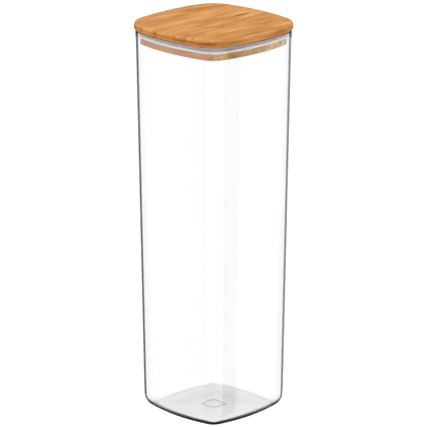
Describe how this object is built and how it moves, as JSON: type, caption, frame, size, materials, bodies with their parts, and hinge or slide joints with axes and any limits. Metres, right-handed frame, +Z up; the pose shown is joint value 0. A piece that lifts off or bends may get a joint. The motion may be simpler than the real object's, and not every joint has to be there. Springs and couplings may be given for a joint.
{
  "type": "glass storage container",
  "caption": "Tall clear glass storage jar of soft-square plan with slightly tapered walls, and a plug-in bamboo lid with a silicone sealing ring.",
  "frame": {"origin": "middle of the plane the jar stands on", "axes": "+Z up along the jar's axis, towards the lid; +X and +Y square to the jar's sides; the cap's strips run along Y and the plug's along X"},
  "size_m": [0.102, 0.102, 0.3],
  "materials": {
    "clear_glass": "polished",
    "silicone": "satin",
    "cap_bamboo": "satin",
    "plug_bamboo": "matte"
  },
  "bodies": {
    "jar": {"glass_jar": "clear_glass"},
    "lid": {"seal_ring": "silicone", "cap_strip_1": "cap_bamboo", "cap_strip_2": "cap_bamboo", "cap_strip_3": "cap_bamboo", "cap_strip_4": "cap_bamboo", "cap_strip_5": "cap_bamboo", "cap_strip_6": "cap_bamboo", "cap_strip_7": "cap_bamboo", "plug_strip_1": "plug_bamboo", "plug_strip_2": "plug_bamboo", "plug_strip_3": "plug_bamboo", "plug_strip_4": "plug_bamboo", "plug_strip_5": "plug_bamboo"}
  },
  "joints": [
    {"name": "lid_lift", "type": "slide", "parent": "jar", "child": "lid", "axis": [0, 0, 1], "range_m": [0, 0.09]}
  ]
}
